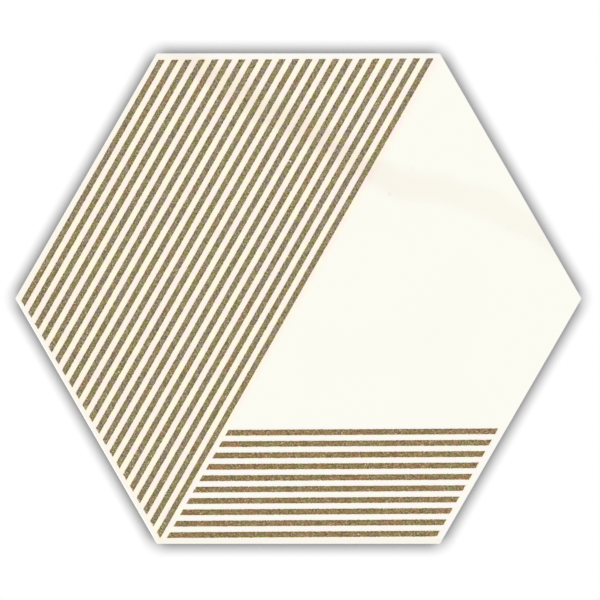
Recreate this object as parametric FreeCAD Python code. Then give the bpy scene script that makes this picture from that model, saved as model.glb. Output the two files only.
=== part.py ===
import FreeCAD, Part
import math
import os

# Hexagonal floor tile of pressed and glazed porcelain, fired as one piece.
# The tile lies face up on its back. The origin is the middle of the back, +X points at one corner
# of the hexagon, +Y at the middle of one side and +Z out of the face. All sizes are in millimetres.

# Tile outline and side
width_across_points = 250.0
thickness = 9.0
corner_radius = 0.6
face_edge_radius = 0.5
back_chamfer_width = 0.5

# Keying relief of the back: a honeycomb of shallow drafted pockets inside a plain border
pocket_flats = 22.0
pocket_depth = 0.8
pocket_draft_deg = 20.0
pocket_corner_cut = 1.0
rib_width = 3.6
back_border = 6.0

# Raised stripes of metallic grit, fired onto the face
stripe_height = 0.25
stripe_width = 2.47
slanted_space = 2.66
slanted_count = 21
level_space = 2.53
level_count = 10
diagonal_space = 2.58
print_margin = 2.81
right_margin = 2.67
print_turn_deg = 0.33
print_shift_x = -0.7
print_shift_y = 0.14

# Directions, as angles from +X, in which the sides of the hexagon and the stripe edges face
TOP_DEG = 90.0
UPPER_LEFT_DEG = 150.0
LOWER_LEFT_DEG = 210.0
BOTTOM_DEG = 270.0
LOWER_RIGHT_DEG = 330.0

# Directions of the first corners of the tile and of a pocket
TILE_CORNER_DEG = 0.0
POCKET_CORNER_DEG = 30.0

half_flats = width_across_points * math.cos(math.radians(30)) / 2
pocket_pitch = pocket_flats + rib_width
slanted_pitch = stripe_width + slanted_space
level_pitch = stripe_width + level_space


def polar(distance, angle_deg, z=0.0):
    angle = math.radians(angle_deg)
    return FreeCAD.Vector(distance * math.cos(angle), distance * math.sin(angle), z)


def hexagon(flats, first_corner_deg, z):
    """Corners of a regular hexagon, given its size across flats."""
    reach = flats / 2 / math.cos(math.radians(30))
    return [polar(reach, first_corner_deg + 60 * corner, z) for corner in range(6)]


def clip(points, facing_deg, distance):
    """The part of a convex polygon that lies within a distance of the Z axis in one direction."""
    facing = polar(1, facing_deg)
    kept = []
    for here, following in zip(points, points[1:] + points[:1]):
        here_inside = distance - here.dot(facing)
        next_inside = distance - following.dot(facing)
        if here_inside >= 0:
            kept.append(here)
        if here_inside * next_inside < 0:
            share = here_inside / (here_inside - next_inside)
            kept.append(here + (following - here) * share)
    return kept


def closed_face(points):
    return Part.Face(Part.makePolygon(points + points[:1]))


def edges_at(solid, z):
    """The edges that lie level at one height."""
    return [edge for edge in solid.Edges if all(abs(end.Z - z) < 1e-6 for end in edge.Vertexes)]


def make_body():
    """The pressed body, with rounded corners, a rounded face edge and a chamfered back edge."""
    outline = closed_face(hexagon(2 * half_flats, TILE_CORNER_DEG, 0))
    body = outline.extrude(FreeCAD.Vector(0, 0, thickness))
    upright_edges = [edge for edge in body.Edges if edge.BoundBox.ZLength > thickness / 2]
    body = body.makeFillet(corner_radius, upright_edges)
    body = body.makeFillet(face_edge_radius, edges_at(body, thickness))
    return body.makeChamfer(back_chamfer_width, edges_at(body, 0))


def pocket_centres():
    """Honeycomb positions, as many whole rings as fit inside the plain border of the back."""
    ring_pitch = pocket_pitch * math.cos(math.radians(30))
    pocket_reach = pocket_flats / 2 / math.cos(math.radians(30))
    rings = int((half_flats - back_border - pocket_reach) / ring_pitch)
    centres = []
    for row in range(-rings, rings + 1):
        columns = 2 * rings + 1 - abs(row)
        for column in range(columns):
            x = (column - (columns - 1) / 2) * pocket_pitch
            centres.append(FreeCAD.Vector(x, row * ring_pitch, 0))
    return centres


def pocket_outline(flats, z):
    """Corners of a pocket at one height: a hexagon, one corner towards +Y, with its corners cut off."""
    points = hexagon(flats, POCKET_CORNER_DEG, z)
    cut_at = flats / 2 / math.cos(math.radians(30)) - pocket_corner_cut
    for corner in range(6):
        points = clip(points, POCKET_CORNER_DEG + 60 * corner, cut_at)
    return points


def make_pockets():
    """Cutting tools for the back, with drafted walls that run on below the back."""
    narrowing = 2 * pocket_depth * math.tan(math.radians(pocket_draft_deg))
    below = pocket_outline(pocket_flats + narrowing, -pocket_depth)
    floor = pocket_outline(pocket_flats - narrowing, pocket_depth)
    faces = [closed_face(below[::-1]), closed_face(floor)]
    for corner, low in enumerate(below):
        following = (corner + 1) % len(below)
        faces.append(closed_face([low, below[following], floor[following], floor[corner]]))
    shell = Part.makeShell(faces)
    shell.sewShape()
    pocket = Part.makeSolid(shell)
    return Part.makeCompound([pocket.translated(centre) for centre in pocket_centres()])


def make_stripe(facing_deg, outer_edge, limits):
    """One raised stripe, its outer long edge at a distance from the origin, its ends cut by limits."""
    points = hexagon(2 * width_across_points, TILE_CORNER_DEG, 0)
    points = clip(points, facing_deg, outer_edge)
    points = clip(points, facing_deg + 180, stripe_width - outer_edge)
    for limit_deg, limit in limits:
        points = clip(points, limit_deg, limit)
    face = closed_face(points)
    face.translate(FreeCAD.Vector(0, 0, thickness - stripe_height))
    return face.extrude(FreeCAD.Vector(0, 0, 2 * stripe_height))


def make_stripes():
    """Slanted stripes outward from the diagonal, and level stripes up from the bottom margin."""
    print_edge = half_flats - print_margin
    right_edge = half_flats - right_margin
    slanted_limits = [(TOP_DEG, print_edge), (LOWER_LEFT_DEG, print_edge)]
    level_limits = [(UPPER_LEFT_DEG, -diagonal_space), (LOWER_RIGHT_DEG, right_edge)]
    stripes = []
    for index in range(slanted_count):
        outer_edge = stripe_width + index * slanted_pitch
        stripes.append(make_stripe(UPPER_LEFT_DEG, outer_edge, slanted_limits))
    for index in range(level_count):
        outer_edge = print_edge - index * level_pitch
        stripes.append(make_stripe(BOTTOM_DEG, outer_edge, level_limits))
    printed = Part.makeCompound(stripes)
    printed.rotate(FreeCAD.Vector(0, 0, 0), FreeCAD.Vector(0, 0, 1), print_turn_deg)
    printed.translate(FreeCAD.Vector(print_shift_x, print_shift_y, 0))
    return printed.Solids


tile = make_body().cut(make_pockets()).fuse(make_stripes()).removeSplitter()
hexagon_tile = tile.Solids[0]

os.makedirs("parts", exist_ok=True)
hexagon_tile.exportStep("parts/hexagon_tile.step")
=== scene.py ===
import math

import bmesh
import bpy
import numpy as np
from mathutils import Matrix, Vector, noise


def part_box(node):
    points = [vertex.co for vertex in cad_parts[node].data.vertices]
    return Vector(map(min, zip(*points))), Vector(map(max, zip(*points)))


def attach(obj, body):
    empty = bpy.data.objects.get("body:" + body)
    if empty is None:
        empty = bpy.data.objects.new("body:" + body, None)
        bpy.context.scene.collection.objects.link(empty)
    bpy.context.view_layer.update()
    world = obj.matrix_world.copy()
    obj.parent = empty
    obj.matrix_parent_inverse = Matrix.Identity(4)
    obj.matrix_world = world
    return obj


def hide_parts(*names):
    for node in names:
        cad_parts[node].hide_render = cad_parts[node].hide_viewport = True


# A hexagonal porcelain floor tile that lies face up, seen from straight above.
# Lengths are named in millimetres and turned into metres where a mesh or a light is made.

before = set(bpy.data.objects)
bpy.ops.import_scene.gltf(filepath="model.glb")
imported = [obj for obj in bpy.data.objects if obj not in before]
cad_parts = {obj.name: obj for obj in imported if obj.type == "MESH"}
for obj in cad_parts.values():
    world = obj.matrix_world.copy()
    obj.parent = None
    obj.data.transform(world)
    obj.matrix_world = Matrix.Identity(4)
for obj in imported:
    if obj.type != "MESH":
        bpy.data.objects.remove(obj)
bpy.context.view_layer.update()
tile_low, tile_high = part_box("hexagon_tile")

MM = 0.001
SEED = 7

# A hexagon: its corners, and the degrees from one to the next
CORNERS = 6
CORNER_TURN = 360 / CORNERS
COS_30 = math.cos(math.radians(30))

# Tile body, the same sizes as in the part's source
STRIPE_HEIGHT = 0.25
THICKNESS = tile_high.z / MM - STRIPE_HEIGHT
HALF_FLATS = (tile_high.y - tile_low.y) / 2 / MM
CORNER_RADIUS = 0.6
FACE_EDGE_RADIUS = 0.5
BACK_CHAMFER = 0.5

# Softened edges of the chamfer: how far each reaches inward and upward
CHAMFER_FOOT = (0.2, 0.06)
CHAMFER_TOP = (0.06, 0.25)

# Mesh of the side: steps along a side, round a corner and over the edge of the face, the smallest radius
# of a corner, how far below mid height a plain ring lies, and how level a face is to be shaded flat
SIDE_STEPS = 60
CORNER_STEPS = 5
FACE_EDGE_STEPS = 6
SMALLEST_RADIUS = 0.3
PLAIN_RING_DROP = 1.0
FLAT_NORMAL = 0.999

# Glaze skin on the side, which ends in a wavy lip above the bare fired body
GLAZE_LIP_DROP = 2.6
GLAZE_LIP_WAVE = 0.45
GLAZE_LIP_THICKNESS = 0.08
GLAZE_LIP_HEIGHT = 0.25

# How far the lip still stands back halfway up, as a share of its thickness, and the two waves of its line
LIP_SHOULDER = 0.3
SLOW_WAVE_LENGTH = 17
QUICK_WAVE_LENGTH = 3.5
QUICK_WAVE_SHARE = 0.35
QUICK_WAVE_SHIFT = 40

# Keying pockets of the back
POCKET_FLATS = 22.0
POCKET_DEPTH = 0.8
POCKET_DRAFT = math.radians(20)
POCKET_CORNER_CUT = 1.0
POCKET_MOUTH_SPREAD = 0.3
POCKET_MOUTH_ROUND = 0.1
POCKET_DRAFTED_SHARE = 0.8
POCKET_FLOOR_INSET = 0.5
RIB_WIDTH = 3.6
BACK_BORDER = 6.0

# Printed stripes
STRIPE_WIDTH = 2.47
SLANTED_SPACE = 2.66
SLANTED_COUNT = 21
LEVEL_SPACE = 2.53
LEVEL_COUNT = 10
DIAGONAL_SPACE = 2.58
PRINT_MARGIN = 2.81
RIGHT_MARGIN = 2.67
PRINT_TURN_DEG = 0.33
PRINT_SHIFT = (-0.7, 0.14)
PRINT_EDGE = HALF_FLATS - PRINT_MARGIN
SLANTED_PITCH = STRIPE_WIDTH + SLANTED_SPACE
LEVEL_PITCH = STRIPE_WIDTH + LEVEL_SPACE

# Grit of the stripes
GRIT_STEP = 0.42
GRIT_JITTER = 0.13
GRIT_LOW = 0.11
GRIT_RELIEF = 0.12
SHOULDER_LOW = 0.04
SHOULDER_RELIEF = 0.07
EDGE_RAGGED = 0.055
RAGGED_LIMIT = 0.15
GRIT_SINK = 0.2
SKIRT_SPREAD = 0.03

# Stray grains: how many, how far from the edge, their size, their height for that size, and the steps
# at each end of a stripe that stay free of them
STRAY_GRAINS_PER_MM = 0.15
STRAY_GAP = 0.1
STRAY_REACH = 0.22
STRAY_SIZES = (0.07, 0.16)
STRAY_RISE = 0.8
STRAY_FREE_STEPS = 2
GRAIN_CORNERS = 4
GRAIN_TURN = 360 / GRAIN_CORNERS

# A chip in the edge of one slanted stripe: its middle, in pixels of the photograph, and its size
CHIP_PX = (289.9, 161.1)
CHIP_REACH = 0.75
CHIP_HALF_WIDTH = 0.3
CHIP_SINK = 0.16

# The photograph: its frame, the middle and width of the tile in it, and the size of a pixel on the tile
FRAME_PX = 600.0
TILE_MIDDLE_PX = (298.43, 298.51)
TILE_WIDTH_PX = 566.7
TILE_WIDTH = 2 * HALF_FLATS / COS_30
PX = TILE_WIDTH / TILE_WIDTH_PX

# The camera: its focal length and the width of its sensor
LENS = 100.0
SENSOR = 36.0

# Sides of the tile, each named by the way it faces, in degrees from the right
TOP_SIDE = 90
UPPER_LEFT_SIDE = 150
LOWER_LEFT_SIDE = 210
BOTTOM_SIDE = 270
LOWER_RIGHT_SIDE = 330

# Stripes of each field: the side they face, how far towards it the outermost one reaches, and their pitch
SLANTED_ROW = (UPPER_LEFT_SIDE, STRIPE_WIDTH, SLANTED_PITCH)
LEVEL_ROW = (BOTTOM_SIDE, PRINT_EDGE, LEVEL_PITCH)

# What cuts off the stripes of each field: a side, and how far towards it they reach
SLANTED_LIMITS = [(TOP_SIDE, PRINT_EDGE), (LOWER_LEFT_SIDE, PRINT_EDGE)]
LEVEL_LIMITS = [(LOWER_RIGHT_SIDE, HALF_FLATS - RIGHT_MARGIN), (UPPER_LEFT_SIDE, -DIAGONAL_SPACE)]


def direction(degrees):
    """One unit across and up the face, at an angle in degrees from the right."""
    return np.array([math.cos(math.radians(degrees)), math.sin(math.radians(degrees))])


def from_photo(x_px, y_px):
    """The place on the tile, in millimetres, of a pixel of the photograph."""
    return ((x_px - TILE_MIDDLE_PX[0]) * PX, (TILE_MIDDLE_PX[1] - y_px) * PX)


def make_object(name, points, faces, materials, face_materials=None):
    """A mesh object in the frame of the model from points in millimetres."""
    mesh = bpy.data.meshes.new(name)
    mesh.from_pydata([tuple(point) for point in np.asarray(points) * MM], [], faces)
    for material in materials:
        mesh.materials.append(material)
    if face_materials is not None:
        mesh.polygons.foreach_set("material_index", face_materials)
    mesh.update()
    piece = bpy.data.objects.new(name, mesh)
    bpy.context.scene.collection.objects.link(piece)
    return piece


# Materials

# Sockets of a colour mix: its share and its two colours, and its result
MIX_INPUTS = (0, 6, 7)
MIX_RESULT = 2


def add(tree, kind, inputs=None, **settings):
    """A new shader node. An input is given as a number or colour, or as the socket it is linked to."""
    made = tree.nodes.new(kind)
    for name, value in settings.items():
        setattr(made, name, value)
    for name, value in (inputs or {}).items():
        if isinstance(value, bpy.types.NodeSocket):
            tree.links.new(value, made.inputs[name])
        else:
            made.inputs[name].default_value = value
    return made


def math_node(tree, operation, first, second=0.0, third=0.0, clamp=False):
    made = add(tree, "ShaderNodeMath", {0: first, 1: second, 2: third}, operation=operation, use_clamp=clamp)
    return made.outputs[0]


def mix_colours(tree, share, first, second, blend="MIX"):
    """The first colour where the share is 0, and the second, or the blend of both, where it is 1."""
    made = add(tree, "ShaderNodeMix", data_type="RGBA", blend_type=blend)
    for index, value in zip(MIX_INPUTS, (share, first, second)):
        if isinstance(value, bpy.types.NodeSocket):
            tree.links.new(value, made.inputs[index])
        else:
            made.inputs[index].default_value = value
    return made.outputs[MIX_RESULT]


def tinted(tree, colour, tint):
    return mix_colours(tree, 1.0, colour, tint, "MULTIPLY")


def smooth_range(tree, value, low, high, to_low=0.0, to_high=1.0):
    """to_low where the value is low, to_high where it is high, and a smooth step between them."""
    sockets = {"Value": value, "From Min": low, "From Max": high, "To Min": to_low, "To Max": to_high}
    return add(tree, "ShaderNodeMapRange", sockets, interpolation_type="SMOOTHSTEP").outputs["Result"]


def noise_node(tree, coords, size_mm, detail, roughness=0.5):
    sockets = {"Vector": coords, "Scale": 1 / (size_mm * MM), "Detail": detail, "Roughness": roughness}
    return add(tree, "ShaderNodeTexNoise", sockets)


def curve_node(tree, value, points):
    """A smooth curve through points from 0 to 1 each way."""
    made = add(tree, "ShaderNodeFloatCurve", {"Value": value})
    curve = made.mapping.curves[0]
    curve.points[0].location = points[0]
    curve.points[1].location = points[-1]
    for point in points[1:-1]:
        curve.points.new(*point)
    made.mapping.update()
    return made.outputs["Value"]


def new_material(name):
    """A material with its tree, its principled shader and the object coordinates."""
    material = bpy.data.materials.new(name)
    material.use_nodes = True
    tree = material.node_tree
    shader = tree.nodes["Principled BSDF"]
    coords = add(tree, "ShaderNodeTexCoord").outputs["Object"]
    return material, tree, shader, coords


def set_bump(tree, shader, height, strength, distance_mm):
    sockets = {"Height": height, "Strength": strength, "Distance": distance_mm * MM}
    bump = add(tree, "ShaderNodeBump", sockets)
    tree.links.new(bump.outputs["Normal"], shader.inputs["Normal"])


# A noise is given by its size in millimetres, its detail and, where it isn't 0.5, its roughness.
# A range is given by where a smooth step starts and ends, and what it gives there where that isn't 0 and 1.
# A bump is given by its strength and its height in millimetres.
NOISE_MIDDLE = (0.5, 0.5, 0.5)

GLAZE_COLOUR = (0.964, 0.955, 0.877, 1)
CLOUD_NOISE = (45, 4)
CLOUD_RANGE = (0.5, 0.85, 0, 0.12)
GLOSS_NOISE = (12, 3)
GLOSS_RANGE = (0.3, 0.7, 0.2, 0.3)
PEEL_NOISE = (2.4, 2)
FINE_PEEL_NOISE = (0.35, 2)
FINE_PEEL_SHARE = 0.12
PEEL_BUMP = (0.5, 0.03)

# Glaze between the stripes, which is warmer and drifts between a pink and a yellow white
SLANTED_PINK = (0.990, 0.882, 0.820, 1)
SLANTED_YELLOW = (0.990, 0.942, 0.755, 1)
LEVEL_PINK = (0.975, 0.922, 0.895, 1)
LEVEL_YELLOW = (0.950, 0.950, 0.856, 1)
FIELD_NOISE = (5.0, 1)
FIELD_RANGE = (0.38, 0.62)
FIELD_FADE = 3.0

# The metal stains the glaze close to each stripe. Between the slanted stripes it is warmer at the left
STAIN_TINT = (0.985, 0.955, 0.850, 1)
STAIN_REACH = 0.55
STAIN_OVERLAP = 0.1
LEFT_TINT = (1.0, 0.995, 0.972, 1)
RIGHT_TINT = (1.0, 1.010, 1.042, 1)

# Slightly darker glaze of the rim beside the stripes
RIM_TINTS = {
    TOP_SIDE: (0.983, 0.973, 0.990, 1),
    UPPER_LEFT_SIDE: (0.999, 0.956, 0.932, 1),
    LOWER_LEFT_SIDE: (0.991, 0.958, 0.951, 1),
    BOTTOM_SIDE: (0.971, 0.945, 0.910, 1),
}
RIM_WIDTH = 1.7

# Painted light near the edge of the face: the glaze is made whiter there, against the shade of the rounded
# edge
EDGE_LIGHT_TINT = (1.0, 1.004, 1.046, 1)
EDGE_LIGHT_START = 1.3
EDGE_LIGHT_END = 0.6
EDGE_LIGHT_DROP = (1.2, 0.4)

# Middle of the faint vein, left to right, in pixels of the photograph, and how strong it is there
VEIN_TINT = (0.957, 0.922, 0.898, 1)
VEIN_PX = (
    (192, 60), (272, 112), (320, 136), (376, 172), (417, 187), (449, 192), (481, 201), (512, 216), (545, 238)
)
VEIN_STRENGTH = (0.8, 1.0, 1.0, 0.78, 0.67, 0.64, 0.51, 0.53, 0.58)
VEIN_HALF_WIDTH = 4.5
VEIN_FADE = 4.0
VEIN_STEEPNESS = 0.85
VEIN_NOISE = (22, 3)
VEIN_WOBBLE = 9

# Specks in the glaze: pixel across, pixel down, radius in millimetres and strength
SPECK_COLOUR = (0.72, 0.74, 0.70, 1)
SPECK_CORE = 0.2
SPECKS_PX = ((389.5, 194, 1.3, 0.31), (540.5, 238.5, 1.6, 0.14), (509, 229, 1.6, 0.12), (412, 169, 2.2, 0.08))


def over_tile(length):
    """A place across the tile, in millimetres from its middle, as a share, from 0 to 1, of its width."""
    return length / TILE_WIDTH + 0.5


def share_over_tile(tree, length, clamp=False):
    """The same share in a shader, from a length in metres."""
    return math_node(tree, "MULTIPLY_ADD", length, 1 / (TILE_WIDTH * MM), 0.5, clamp=clamp)


def vein_strength(tree, coords):
    """How much of the vein shows at a point: a band about a smooth line across the face, with soft edges."""
    drift = noise_node(tree, coords, *VEIN_NOISE).outputs["Color"]
    wobble = add(tree, "ShaderNodeVectorMath", {0: drift, 1: NOISE_MIDDLE}, operation="SUBTRACT")
    sockets = {0: wobble.outputs[0], "Scale": VEIN_WOBBLE * MM}
    wobble = add(tree, "ShaderNodeVectorMath", sockets, operation="SCALE")
    moved = add(tree, "ShaderNodeVectorMath", {0: coords, 1: wobble.outputs[0]}, operation="ADD").outputs[0]
    split = add(tree, "ShaderNodeSeparateXYZ", {0: moved})
    x = share_over_tile(tree, split.outputs["X"], clamp=True)
    places = [from_photo(*place) for place in VEIN_PX]
    middle = curve_node(tree, x, [(over_tile(across), over_tile(up)) for across, up in places])
    along = curve_node(tree, x, [(over_tile(place[0]), share) for place, share in zip(places, VEIN_STRENGTH)])
    y = share_over_tile(tree, split.outputs["Y"])
    aside = math_node(tree, "ABSOLUTE", math_node(tree, "SUBTRACT", y, middle))
    aside = math_node(tree, "MULTIPLY", aside, VEIN_STEEPNESS * TILE_WIDTH)
    band = smooth_range(tree, aside, VEIN_HALF_WIDTH + VEIN_FADE, VEIN_HALF_WIDTH - VEIN_FADE / 2)
    return math_node(tree, "MULTIPLY", band, along)


def distance_towards(tree, coords, degrees):
    """How far a point lies from the tile's middle in one direction, in metres."""
    facing = tuple(direction(degrees)) + (0,)
    made = add(tree, "ShaderNodeVectorMath", {0: coords, 1: facing}, operation="DOT_PRODUCT")
    return made.outputs["Value"]


def share_beyond(tree, coords, side, distance, fade):
    """1 where a point lies further than a distance towards one side, falling to 0 over the fade before it."""
    return smooth_range(tree, distance_towards(tree, coords, side), (distance - fade) * MM, distance * MM)


def near_edge(tree, coords, start, end):
    """0 further inside the tile than the start, 1 nearer to any of its six sides than the end."""
    furthest = 0.0
    for side in (TOP_SIDE, UPPER_LEFT_SIDE, LOWER_LEFT_SIDE):
        either_way = math_node(tree, "ABSOLUTE", distance_towards(tree, coords, side))
        furthest = math_node(tree, "MAXIMUM", either_way, furthest)
    return smooth_range(tree, furthest, (HALF_FLATS - start) * MM, (HALF_FLATS - end) * MM)


def tint_across(tree, coords, degrees, start_tint, end_tint):
    """A tint that changes evenly from one side of the tile to the other, in one direction."""
    share = share_over_tile(tree, distance_towards(tree, coords, degrees), clamp=True)
    return mix_colours(tree, share, start_tint, end_tint)


def off_centre(tree, coords, facing, outer_edge, pitch):
    """How far a point is from the nearest middle of the stripes that repeat inward from an outer edge."""
    turned = facing + PRINT_TURN_DEG
    moved_edge = outer_edge + float(np.dot(PRINT_SHIFT, direction(turned)))
    inward = math_node(tree, "SUBTRACT", moved_edge * MM, distance_towards(tree, coords, turned))
    shifted = math_node(tree, "ADD", inward, (pitch - STRIPE_WIDTH) / 2 * MM)
    across = math_node(tree, "FLOORED_MODULO", shifted, pitch * MM)
    return math_node(tree, "ABSOLUTE", math_node(tree, "SUBTRACT", across, pitch / 2 * MM))


def stained(tree, coords, colour, row, field_edges):
    """Glaze with a stain along a row of stripes, inside its field's edges, each a side and a distance."""
    half_width = STRIPE_WIDTH / 2
    aside = off_centre(tree, coords, *row)
    share = smooth_range(tree, aside, (half_width + STAIN_REACH) * MM, (half_width - STAIN_OVERLAP) * MM)
    for side, limit in field_edges:
        outside = share_beyond(tree, coords, side, limit + STAIN_REACH, STAIN_REACH)
        share = math_node(tree, "MULTIPLY", share, math_node(tree, "SUBTRACT", 1.0, outside))
    return mix_colours(tree, share, colour, tinted(tree, colour, STAIN_TINT))


def field_colours(tree, coords, colour):
    """The glaze with its warmer fields between the stripes, and their stain beside each stripe."""
    hues = smooth_range(tree, noise_node(tree, coords, *FIELD_NOISE).outputs["Fac"], *FIELD_RANGE)
    level_start = PRINT_EDGE - LEVEL_COUNT * LEVEL_PITCH + LEVEL_SPACE
    in_level = share_beyond(tree, coords, BOTTOM_SIDE, level_start, FIELD_FADE)
    colour = mix_colours(tree, in_level, colour, mix_colours(tree, hues, LEVEL_PINK, LEVEL_YELLOW))
    level_edges = LEVEL_LIMITS + [(TOP_SIDE, -level_start), (BOTTOM_SIDE, PRINT_EDGE)]
    colour = stained(tree, coords, colour, LEVEL_ROW, level_edges)
    in_slanted = share_beyond(tree, coords, UPPER_LEFT_SIDE, 0, FIELD_FADE)
    warm = mix_colours(tree, hues, SLANTED_PINK, SLANTED_YELLOW)
    warm = tinted(tree, warm, tint_across(tree, coords, 0, LEFT_TINT, RIGHT_TINT))
    colour = mix_colours(tree, in_slanted, colour, warm)
    return stained(tree, coords, colour, SLANTED_ROW, [(LOWER_RIGHT_SIDE, 0)] + SLANTED_LIMITS)


def make_glaze():
    """Off-white glaze with a faint warm vein, soft clouds, a few specks and a slight orange peel."""
    material, tree, shader, coords = new_material("glazed_porcelain")
    colour = field_colours(tree, coords, GLAZE_COLOUR)
    for side, tint in RIM_TINTS.items():
        on_rim = share_beyond(tree, coords, side, HALF_FLATS - RIM_WIDTH, RIM_WIDTH)
        colour = mix_colours(tree, on_rim, colour, tinted(tree, GLAZE_COLOUR, tint))
    z = add(tree, "ShaderNodeSeparateXYZ", {0: coords}).outputs["Z"]
    on_face = smooth_range(tree, z, (THICKNESS - EDGE_LIGHT_DROP[0]) * MM, (THICKNESS - EDGE_LIGHT_DROP[1]) * MM)
    # Painted light on the glaze close to the edge of the face
    edge_light = math_node(tree, "MULTIPLY", on_face, near_edge(tree, coords, EDGE_LIGHT_START, EDGE_LIGHT_END))
    colour = mix_colours(tree, edge_light, colour, tinted(tree, colour, EDGE_LIGHT_TINT))
    colour = mix_colours(tree, vein_strength(tree, coords), colour, tinted(tree, colour, VEIN_TINT))
    clouds = smooth_range(tree, noise_node(tree, coords, *CLOUD_NOISE).outputs["Fac"], *CLOUD_RANGE)
    colour = mix_colours(tree, clouds, colour, tinted(tree, colour, VEIN_TINT))
    for x_px, y_px, radius, strength in SPECKS_PX:
        centre = from_photo(x_px, y_px)
        place = (centre[0] * MM, centre[1] * MM, THICKNESS * MM)
        away = add(tree, "ShaderNodeVectorMath", {0: coords, 1: place}, operation="DISTANCE").outputs["Value"]
        share = smooth_range(tree, away, radius * MM, SPECK_CORE * radius * MM, 0, strength)
        colour = mix_colours(tree, share, colour, SPECK_COLOUR)
    tree.links.new(colour, shader.inputs["Base Color"])
    gloss = noise_node(tree, coords, *GLOSS_NOISE).outputs["Fac"]
    tree.links.new(smooth_range(tree, gloss, *GLOSS_RANGE), shader.inputs["Roughness"])
    peel = noise_node(tree, coords, *PEEL_NOISE).outputs["Fac"]
    fine = noise_node(tree, coords, *FINE_PEEL_NOISE).outputs["Fac"]
    height = math_node(tree, "MULTIPLY_ADD", fine, FINE_PEEL_SHARE, peel)
    set_bump(tree, shader, height, *PEEL_BUMP)
    return material


# Grit of the stripes, which is greener and greyer in the slanted ones than in the level ones.
# One noise takes it from olive to grey, and the two ends of another make it copper and green
SLANTED_HUES = {
    "olive": (0.262, 0.226, 0.086, 1),
    "grey": (0.262, 0.212, 0.147, 1),
    "green": (0.252, 0.231, 0.104, 1),
    "copper": (0.311, 0.190, 0.097, 1),
    "copper_range": (0.49, 0.97),
}
LEVEL_HUES = {
    "olive": (0.261, 0.190, 0.066, 1),
    "grey": (0.274, 0.184, 0.082, 1),
    "green": (0.258, 0.222, 0.085, 1),
    "copper": (0.305, 0.180, 0.079, 1),
    "copper_range": (0.45, 0.76),
}
GREY_NOISE = (4.2, 0)
GREY_RANGE = (0.31, 0.69)
COPPER_NOISE = (7.0, 0)
COPPER_SHIFT = 1000
GREEN_RANGE = (0.37, 0.25)
FLAKE_SIZE = 0.5
FLAKE_TONES = (0.0, 1.0, 0.72, 1.28)
FLAKE_ROUGHNESS = (0.0, 1.0, 0.55, 0.3)
DARK_FLAKE = (0.085, 0.065, 0.035, 1)
DARK_RANGE = (0.88, 0.92, 0, 0.65)
BRIGHT_FLAKE = (0.56, 0.47, 0.30, 1)
BRIGHT_RANGE = (0.9, 0.94, 0, 0.7)
EDGE_BAND = 1.0
EDGE_DARKENING = 0.2
GRIT_METALLIC = 0.55
GRIT_BUMP = (0.5, 0.1)

# Painted shade and painted light on the grit: darker at the lower left than at the upper right. The grit is
# also golden in the outermost slanted stripes
PAINTED_LIGHT_SIDE = 33
PAINTED_SHADE_TINT = (0.895, 0.892, 0.860, 1)
PAINTED_LIGHT_TINT = (1.135, 1.145, 1.222, 1)
OUTER_GOLD = (1.05, 1.015, 0.97, 1)
OUTER_GOLD_WIDTH = 14.0

# The bare fired body, and the kiln wash that clings to its ribs
BISCUIT_DARK = (0.71, 0.64, 0.53, 1)
BISCUIT_PALE = (0.80, 0.74, 0.64, 1)
BISCUIT_NOISE = (14, 4, 0.6)
BISCUIT_RANGE = (0.3, 0.7)
BISCUIT_ROUGHNESS = (0.78, 0.92)
BISCUIT_GRAIN = (0.42, 0.36, 0.29, 1)
GRAIN_NOISE = (0.5, 2)
GRAIN_RANGE = (0.62, 0.75, 0, 0.35)
KILN_WASH = (0.88, 0.86, 0.82, 1)
WASH_NOISE = (9, 5, 0.7)
WASH_RANGE = (0.42, 0.6, 0.15, 0.8)
WASH_HEIGHTS = (0.25, 0.05)
PIT_NOISE = (1.6, 3)
GRAIN_IN_PITS = 0.4
BISCUIT_BUMP = (0.7, 0.12)


def make_biscuit():
    """The bare fired body on the side and the back: cream, grainy and matt, with kiln wash on the ribs."""
    material, tree, shader, coords = new_material("fired_body")
    clouds = noise_node(tree, coords, *BISCUIT_NOISE).outputs["Fac"]
    colour = mix_colours(tree, smooth_range(tree, clouds, *BISCUIT_RANGE), BISCUIT_DARK, BISCUIT_PALE)
    grains = noise_node(tree, coords, *GRAIN_NOISE).outputs["Fac"]
    colour = mix_colours(tree, smooth_range(tree, grains, *GRAIN_RANGE), colour, BISCUIT_GRAIN)
    z = add(tree, "ShaderNodeSeparateXYZ", {0: coords}).outputs["Z"]
    on_rib = smooth_range(tree, z, WASH_HEIGHTS[0] * MM, WASH_HEIGHTS[1] * MM)
    smears = smooth_range(tree, noise_node(tree, coords, *WASH_NOISE).outputs["Fac"], *WASH_RANGE)
    wash = math_node(tree, "MULTIPLY", on_rib, smears)
    colour = mix_colours(tree, wash, colour, KILN_WASH)
    tree.links.new(colour, shader.inputs["Base Color"])
    roughness = smooth_range(tree, clouds, *BISCUIT_RANGE, *BISCUIT_ROUGHNESS)
    tree.links.new(roughness, shader.inputs["Roughness"])
    pits = noise_node(tree, coords, *PIT_NOISE).outputs["Fac"]
    height = math_node(tree, "MULTIPLY_ADD", grains, GRAIN_IN_PITS, pits)
    set_bump(tree, shader, height, *BISCUIT_BUMP)
    return material


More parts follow.
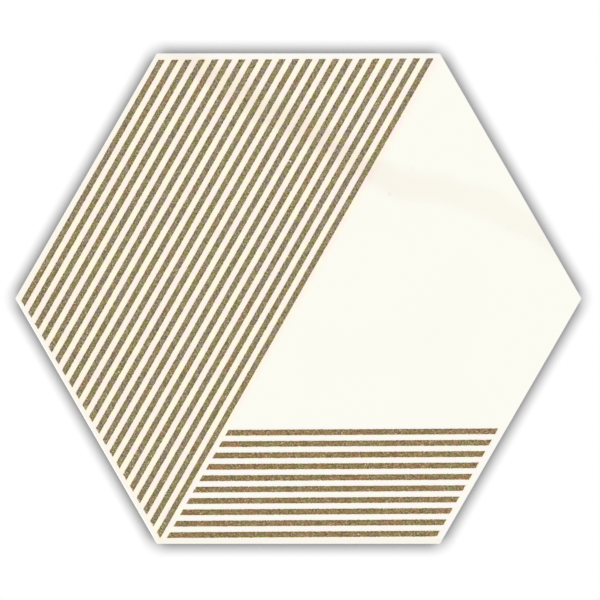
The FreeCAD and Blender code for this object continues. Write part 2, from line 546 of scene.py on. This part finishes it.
def make_grit(name, hues, row):
    """Bronze and gold grit in flakes of drifting hue, some bright, some dark, and more dark at the edges,
    with painted shade at the lower left and painted light at the upper right.
    """
    material, tree, shader, coords = new_material(name)
    greys = noise_node(tree, coords, *GREY_NOISE).outputs["Fac"]
    colour = mix_colours(tree, smooth_range(tree, greys, *GREY_RANGE), hues["olive"], hues["grey"])
    shift = (COPPER_SHIFT * MM,) * 3
    apart = add(tree, "ShaderNodeVectorMath", {0: coords, 1: shift}, operation="ADD").outputs[0]
    reds = noise_node(tree, apart, *COPPER_NOISE).outputs["Fac"]
    colour = mix_colours(tree, smooth_range(tree, reds, *hues["copper_range"]), colour, hues["copper"])
    colour = mix_colours(tree, smooth_range(tree, reds, *GREEN_RANGE), colour, hues["green"])
    on_outer = share_beyond(tree, coords, UPPER_LEFT_SIDE, PRINT_EDGE, OUTER_GOLD_WIDTH)
    colour = mix_colours(tree, on_outer, colour, tinted(tree, colour, OUTER_GOLD))
    # Painted shade towards the lower left and painted light towards the upper right of the tile
    colour = tinted(tree, colour, tint_across(tree, coords, PAINTED_LIGHT_SIDE, PAINTED_SHADE_TINT, PAINTED_LIGHT_TINT))
    flakes = add(tree, "ShaderNodeTexVoronoi", {"Vector": coords, "Scale": 1 / (FLAKE_SIZE * MM)})
    flake = add(tree, "ShaderNodeSeparateColor", {0: flakes.outputs["Color"]})
    tone = smooth_range(tree, flake.outputs[0], *FLAKE_TONES)
    tones = add(tree, "ShaderNodeCombineColor", {0: tone, 1: tone, 2: tone}).outputs[0]
    colour = tinted(tree, colour, tones)
    aside = off_centre(tree, coords, *row)
    # Darker flakes towards the long edges of each stripe
    inner_start = STRIPE_WIDTH / 2 - EDGE_BAND
    edge = smooth_range(tree, aside, inner_start * MM, (inner_start + EDGE_BAND / 2) * MM)
    edge_darkened = math_node(tree, "MULTIPLY_ADD", edge, EDGE_DARKENING, flake.outputs[1])
    colour = mix_colours(tree, smooth_range(tree, edge_darkened, *DARK_RANGE), colour, DARK_FLAKE)
    shine = flake.outputs[2]
    colour = mix_colours(tree, smooth_range(tree, shine, *BRIGHT_RANGE), colour, BRIGHT_FLAKE)
    tree.links.new(colour, shader.inputs["Base Color"])
    tree.links.new(smooth_range(tree, shine, *FLAKE_ROUGHNESS), shader.inputs["Roughness"])
    shader.inputs["Metallic"].default_value = GRIT_METALLIC
    set_bump(tree, shader, flakes.outputs["Distance"], *GRIT_BUMP)
    return material


# Tile body


def outline_ring(inset, z, wave=None):
    """Points round the rounded hexagon, moved in from its side by inset. A wave moves them up or down."""
    radius = max(CORNER_RADIUS - inset, SMALLEST_RADIUS)
    reach = (HALF_FLATS - inset - radius) / COS_30
    ring = []
    for corner in range(CORNERS):
        middle = CORNER_TURN * corner
        for step in range(CORNER_STEPS + 1):
            turn = middle - CORNER_TURN / 2 + CORNER_TURN * step / CORNER_STEPS
            ring.append(reach * direction(middle) + radius * direction(turn))
        start = ring[-1]
        end = reach * direction(middle + CORNER_TURN) + radius * direction(middle + CORNER_TURN / 2)
        for step in range(1, SIDE_STEPS):
            ring.append(start + (end - start) * step / SIDE_STEPS)
    heights = [z + (wave(x, y) if wave else 0) for x, y in ring]
    return [(x, y, height) for (x, y), height in zip(ring, heights)]


def lip_wave(x, y):
    """How far the lip of the glaze rises at a place: a slow wave and a smaller, quicker one."""
    slow = noise.noise(Vector((x, y, 0)) / SLOW_WAVE_LENGTH)
    quick = noise.noise(Vector((x, y, QUICK_WAVE_SHIFT)) / QUICK_WAVE_LENGTH)
    return GLAZE_LIP_WAVE * (slow + QUICK_WAVE_SHARE * quick)


def side_rings():
    """The rings of the side from the back plane up to the face, and the index of the lowest glazed one."""
    lip_top = THICKNESS - GLAZE_LIP_DROP
    rings = [
        outline_ring(BACK_CHAMFER + CHAMFER_FOOT[0], 0),
        outline_ring(BACK_CHAMFER, CHAMFER_FOOT[1]),
        outline_ring(GLAZE_LIP_THICKNESS + CHAMFER_TOP[0], BACK_CHAMFER),
        outline_ring(GLAZE_LIP_THICKNESS, BACK_CHAMFER + CHAMFER_TOP[1]),
        outline_ring(GLAZE_LIP_THICKNESS, THICKNESS / 2 - PLAIN_RING_DROP),
        outline_ring(GLAZE_LIP_THICKNESS, lip_top - GLAZE_LIP_HEIGHT, lip_wave),
    ]
    first_glazed = len(rings) - 1
    rings.append(outline_ring(GLAZE_LIP_THICKNESS * LIP_SHOULDER, lip_top - GLAZE_LIP_HEIGHT / 2, lip_wave))
    rings.append(outline_ring(0, lip_top, lip_wave))
    for step in range(FACE_EDGE_STEPS + 1):
        turn = math.pi / 2 * step / FACE_EDGE_STEPS
        inset = FACE_EDGE_RADIUS * (1 - math.cos(turn))
        rings.append(outline_ring(inset, THICKNESS - FACE_EDGE_RADIUS * (1 - math.sin(turn))))
    return rings, first_glazed


def pocket_outline(flats, z, centre):
    """A hexagon with one corner towards +Y and all its corners cut off, as the pockets of the back have."""
    reach = flats / 2 / COS_30
    half_cut = POCKET_CORNER_CUT * math.tan(math.radians(CORNER_TURN))
    points = []
    for corner in range(CORNERS):
        turn = CORNER_TURN / 2 + CORNER_TURN * corner
        middle = (reach - POCKET_CORNER_CUT) * direction(turn)
        points.append(middle - half_cut * direction(turn + 90))
        points.append(middle + half_cut * direction(turn + 90))
    return [(x + centre[0], y + centre[1], z) for x, y in points]


def pocket_centres():
    """Middles of the pockets: as many whole rings round the middle one as fit inside the border."""
    pitch = POCKET_FLATS + RIB_WIDTH
    rings = int((HALF_FLATS - BACK_BORDER - POCKET_FLATS / 2 / COS_30) / (pitch * COS_30))
    centres = []
    for row in range(-rings, rings + 1):
        columns = 2 * rings + 1 - abs(row)
        for column in range(columns):
            centres.append(((column - (columns - 1) / 2) * pitch, row * pitch * COS_30))
    return centres


def join_rings(faces, lower, upper):
    """Quads between two rings of vertex numbers, facing away from the ring's middle."""
    for index, start in enumerate(lower):
        after = (index + 1) % len(lower)
        faces.append((start, lower[after], upper[after], upper[index]))


def make_body(glaze, biscuit):
    """The closed skin of the tile: bare at the back and low on the side, glazed above the lip."""
    points = []
    faces = []

    def add_ring(ring):
        first = len(points)
        points.extend(ring)
        return list(range(first, first + len(ring)))

    rings, first_glazed = side_rings()
    numbers = [add_ring(ring) for ring in rings]
    for lower, upper in zip(numbers[:first_glazed], numbers[1:first_glazed + 1]):
        join_rings(faces, lower, upper)
    drafted = POCKET_DRAFTED_SHARE * POCKET_DEPTH
    profile = (
        (POCKET_MOUTH_SPREAD, 0.0),
        (0.0, POCKET_MOUTH_ROUND),
        (-math.tan(POCKET_DRAFT) * drafted, drafted),
        (-POCKET_FLOOR_INSET, POCKET_DEPTH),
    )
    mouths = []
    for centre in pocket_centres():
        loops = [add_ring(pocket_outline(POCKET_FLATS + 2 * out, z, centre)) for out, z in profile]
        mouths.append(loops[0])
        for lower, upper in zip(loops, loops[1:]):
            join_rings(faces, upper, lower)
        faces.append(tuple(loops[-1][::-1]))
    biscuit_faces = len(faces)
    for lower, upper in zip(numbers[first_glazed:], numbers[first_glazed + 1:]):
        join_rings(faces, lower, upper)
    faces.append(tuple(numbers[-1]))
    face_materials = [1] * biscuit_faces + [0] * (len(faces) - biscuit_faces)
    body = make_object("tile_body", points, faces, [glaze, biscuit], face_materials)
    close_back(body.data, numbers[0], mouths)
    smooth = [abs(face.normal.z) < FLAT_NORMAL for face in body.data.polygons]
    body.data.polygons.foreach_set("use_smooth", smooth)
    return body


def close_back(mesh, rim, mouths):
    """Fills the plane of the ribs between the rim and the mouths of the pockets."""
    bm = bmesh.new()
    bm.from_mesh(mesh)
    bm.verts.ensure_lookup_table()
    open_edges = []
    for loop in [rim] + mouths:
        for index, start in enumerate(loop):
            pair = (bm.verts[start], bm.verts[loop[(index + 1) % len(loop)]])
            open_edges.append(bm.edges.get(pair) or bm.edges.new(pair))
    filled = bmesh.ops.triangle_fill(bm, use_beauty=True, edges=open_edges, normal=(0, 0, -1))
    for item in filled["geom"]:
        if isinstance(item, bmesh.types.BMFace):
            item.material_index = 1
    bmesh.ops.recalc_face_normals(bm, faces=bm.faces)
    bm.to_mesh(mesh)
    bm.free()


# Stripes


def stripe_ends(distance, out, along, limits):
    """Where a line at a distance in one direction starts and ends between the limits."""
    ends = []
    for limit_direction, limit in limits:
        facing = direction(limit_direction)
        ends.append((limit - distance * out.dot(facing)) / along.dot(facing))
    return min(ends), max(ends)


def stripe_grid(facing, outer_edge, limits, rng):
    """Top points of one stripe as rows across its width, with loose grit heights and ragged edges."""
    out = direction(facing)
    along = direction(facing - 90)
    rows = round(STRIPE_WIDTH / GRIT_STEP) + 1
    distances = outer_edge - np.linspace(0, STRIPE_WIDTH, rows)
    ends = np.array([stripe_ends(distance, out, along, limits) for distance in distances])
    columns = round(float((ends[:, 1] - ends[:, 0]).mean()) / GRIT_STEP) + 1
    shares = np.linspace(0, 1, columns)
    u = ends[:, :1] + (ends[:, 1:] - ends[:, :1]) * shares
    d = np.repeat(distances[:, None], columns, axis=1)

    def ragged(count):
        return rng.normal(0, EDGE_RAGGED, count).clip(-RAGGED_LIMIT, RAGGED_LIMIT)

    u[:, 1:-1] += rng.uniform(-GRIT_JITTER, GRIT_JITTER, (rows, columns - 2))
    d[1:-1, :] += rng.uniform(-GRIT_JITTER, GRIT_JITTER, (rows - 2, columns))
    d[0, :] += ragged(columns)
    d[-1, :] += ragged(columns)
    u[:, 0] += ragged(rows)
    u[:, -1] += ragged(rows)
    heights = GRIT_LOW + GRIT_RELIEF * rng.random((rows, columns))
    shoulder = SHOULDER_LOW + SHOULDER_RELIEF * rng.random((rows, columns))
    on_edge = np.zeros((rows, columns), bool)
    on_edge[[0, -1], :] = True
    on_edge[:, [0, -1]] = True
    z = THICKNESS + np.where(on_edge, shoulder, heights)
    xy = d[..., None] * out + u[..., None] * along
    return np.dstack([xy, z])


def close_stripe(grid):
    """Points and faces of a closed skin: the gritty top, a skirt into the glaze and a flat underside."""
    rows, columns = grid.shape[:2]
    points = grid.reshape(-1, 3)
    index = np.arange(rows * columns).reshape(rows, columns)
    quads = np.stack([index[:-1, :-1], index[1:, :-1], index[1:, 1:], index[:-1, 1:]], axis=-1).reshape(-1, 4)
    rim = np.concatenate([index[0, :-1], index[:-1, -1], index[-1, :0:-1], index[:0:-1, 0]])
    rim_points = points[rim]
    before = np.roll(rim_points, 1, axis=0)
    after = np.roll(rim_points, -1, axis=0)
    run = (after - before)[:, :2]
    outward = np.stack([-run[:, 1], run[:, 0]], axis=1)
    outward /= np.linalg.norm(outward, axis=1, keepdims=True)
    foot = rim_points.copy()
    foot[:, :2] += SKIRT_SPREAD * outward
    foot[:, 2] = THICKNESS - GRIT_SINK
    feet = len(points) + np.arange(len(rim))
    skirt = np.stack([rim, np.roll(rim, -1), np.roll(feet, -1), feet], axis=1)
    faces = quads.tolist() + skirt.tolist() + [feet.tolist()]
    return np.vstack([points, foot]), faces


def stray_grains(grid, rng):
    """Low pyramids of loose grit beside the two long edges of a stripe."""
    points = []
    faces = []
    for edge, inner in ((grid[0], grid[1]), (grid[-1], grid[-2])):
        count = round(np.linalg.norm(edge[-1] - edge[0]) * STRAY_GRAINS_PER_MM)
        for place in rng.integers(STRAY_FREE_STEPS, len(edge) - STRAY_FREE_STEPS, count):
            outward = (edge[place] - inner[place])[:2]
            outward /= np.linalg.norm(outward)
            middle = edge[place, :2] + outward * (STRAY_GAP + rng.exponential(STRAY_REACH))
            size = rng.uniform(*STRAY_SIZES)
            turn = rng.uniform(0, GRAIN_TURN)
            first = len(points)
            for corner in range(GRAIN_CORNERS):
                x, y = middle + size * direction(turn + GRAIN_TURN * corner)
                points.append((x, y, THICKNESS - GRIT_SINK))
            points.append((middle[0], middle[1], THICKNESS + STRAY_RISE * size))
            peak = first + GRAIN_CORNERS
            for corner in range(GRAIN_CORNERS):
                faces.append([first + corner, first + (corner + 1) % GRAIN_CORNERS, peak])
            faces.append(list(range(peak - 1, first - 1, -1)))
    return points, faces


def chip_points(points):
    """Sinks the points of the chip into the glaze, which then shows in the gap."""
    away = points[:, :2] - from_photo(*CHIP_PX)
    along = away @ direction(UPPER_LEFT_SIDE + PRINT_TURN_DEG)
    beside = away @ direction(UPPER_LEFT_SIDE + PRINT_TURN_DEG + 90)
    inside = (np.abs(along) < CHIP_REACH) & (np.abs(beside) < CHIP_HALF_WIDTH)
    points[inside, 2] = THICKNESS - CHIP_SINK


def make_stripes(name, facing, outer_edges, limits, grit, rng):
    """All the stripes of one direction, and the loose grit beside them, as one joined mesh."""
    points = np.zeros((0, 3))
    faces = []
    for outer_edge in outer_edges:
        grid = stripe_grid(facing, outer_edge, limits, rng)
        for new_points, new_faces in (close_stripe(grid), stray_grains(grid, rng)):
            faces += [[number + len(points) for number in face] for face in new_faces]
            points = np.vstack([points, np.asarray(new_points)])
    across = points[:, :1] * direction(PRINT_TURN_DEG)
    upward = points[:, 1:2] * direction(PRINT_TURN_DEG + 90)
    points[:, :2] = across + upward + PRINT_SHIFT
    chip_points(points)
    piece = make_object(name, points, faces, [grit])
    bm = bmesh.new()
    bm.from_mesh(piece.data)
    bmesh.ops.recalc_face_normals(bm, faces=bm.faces)
    bm.to_mesh(piece.data)
    bm.free()
    return piece


def make_print(slanted_grit, level_grit):
    """Both fields of stripes: slanted ones outward from the diagonal, level ones up from the margin."""
    rng = np.random.default_rng(SEED)
    slanted_edges = [STRIPE_WIDTH + index * SLANTED_PITCH for index in range(SLANTED_COUNT)]
    level_edges = [PRINT_EDGE - index * LEVEL_PITCH for index in range(LEVEL_COUNT)]
    return [
        make_stripes("slanted_stripes", UPPER_LEFT_SIDE, slanted_edges, SLANTED_LIMITS, slanted_grit, rng),
        make_stripes("level_stripes", BOTTOM_SIDE, level_edges, LEVEL_LIMITS, level_grit, rng),
    ]


# Stage, light and camera

# Light from all round, and the key light, which shines from the way that its place lies
DOME = 0.8
KEY_STRENGTH = 0.95
KEY_ANGLE = math.radians(30)
KEY_PLACE = (-0.62, -0.55, 0.8)

FLOOR_COLOUR = (0.9, 0.9, 0.9, 1)
FLOOR_ROUGHNESS = 0.9
FLOOR_REACH = 2000

# The soft shadow round the tile: how far it reaches, how fast it deepens, its darkest level and its samples
HALO_REACH = 7.7
HALO_DEPTH = 1.72
HALO_DARKEST = 0.28
HALO_SAMPLES = 16


def camera_share(tree):
    """1 for rays from the camera and for mirror and glass rays, which show the backdrop as it is."""
    path = add(tree, "ShaderNodeLightPath")
    seen = math_node(tree, "ADD", path.outputs["Is Camera Ray"], path.outputs["Is Glossy Ray"])
    return math_node(tree, "ADD", seen, path.outputs["Is Transmission Ray"], clamp=True)


def make_floor():
    """White floor. What the camera sees of it is white, but for the soft shadow round the object."""
    material, tree, shader, coords = new_material("white_floor")
    shader.inputs["Base Color"].default_value = FLOOR_COLOUR
    shader.inputs["Roughness"].default_value = FLOOR_ROUGHNESS
    shade = add(tree, "ShaderNodeAmbientOcclusion", {"Distance": HALO_REACH * MM}, samples=HALO_SAMPLES)
    level = math_node(tree, "MULTIPLY_ADD", shade.outputs["AO"], HALO_DEPTH, 1 - HALO_DEPTH)
    level = math_node(tree, "MAXIMUM", level, HALO_DARKEST)
    glow = add(tree, "ShaderNodeEmission", {"Strength": level})
    sockets = {0: camera_share(tree), 1: shader.outputs[0], 2: glow.outputs[0]}
    mixed = add(tree, "ShaderNodeMixShader", sockets)
    tree.links.new(mixed.outputs[0], tree.nodes["Material Output"].inputs["Surface"])
    corners = [(x * FLOOR_REACH, y * FLOOR_REACH, 0) for x, y in ((-1, -1), (1, -1), (1, 1), (-1, 1))]
    floor = make_object("floor", corners, [(0, 1, 2, 3)], [material])


def make_world():
    """Even white light from all round, at a strength of 1 where the camera sees it."""
    world = bpy.data.worlds.new("studio")
    bpy.context.scene.world = world
    world.use_nodes = True
    tree = world.node_tree
    level = math_node(tree, "MULTIPLY_ADD", camera_share(tree), 1 - DOME, DOME)
    background = tree.nodes["Background"]
    background.inputs["Color"].default_value = (1, 1, 1, 1)
    tree.links.new(level, background.inputs["Strength"])


def make_key_light():
    """A broad soft light from the lower left, above the tile."""
    light = bpy.data.lights.new("key", "SUN")
    light.angle = KEY_ANGLE
    light.energy = KEY_STRENGTH
    key = bpy.data.objects.new("key", light)
    key.location = KEY_PLACE
    key.rotation_euler = (-Vector(KEY_PLACE)).to_track_quat("-Z", "Y").to_euler()
    bpy.context.scene.collection.objects.link(key)


def make_camera():
    """Straight above the face, with the tile where the photograph has it."""
    centre = from_photo(FRAME_PX / 2, FRAME_PX / 2)
    distance = FRAME_PX * PX * LENS / SENSOR
    data = bpy.data.cameras.new("camera")
    data.lens = LENS
    data.sensor_width = SENSOR
    camera = bpy.data.objects.new("camera", data)
    camera.location = (centre[0] * MM, centre[1] * MM, (THICKNESS + distance) * MM)
    bpy.context.scene.collection.objects.link(camera)
    bpy.context.scene.camera = camera


glaze = make_glaze()
biscuit = make_biscuit()
slanted_grit = make_grit("slanted_grit", SLANTED_HUES, SLANTED_ROW)
level_grit = make_grit("level_grit", LEVEL_HUES, LEVEL_ROW)
body = make_body(glaze, biscuit)
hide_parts("hexagon_tile")
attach(body, "root")
for stripes in make_print(slanted_grit, level_grit):
    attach(stripes, "root")
make_floor()
make_world()
make_key_light()
make_camera()
bpy.context.scene.view_settings.view_transform = "Standard"
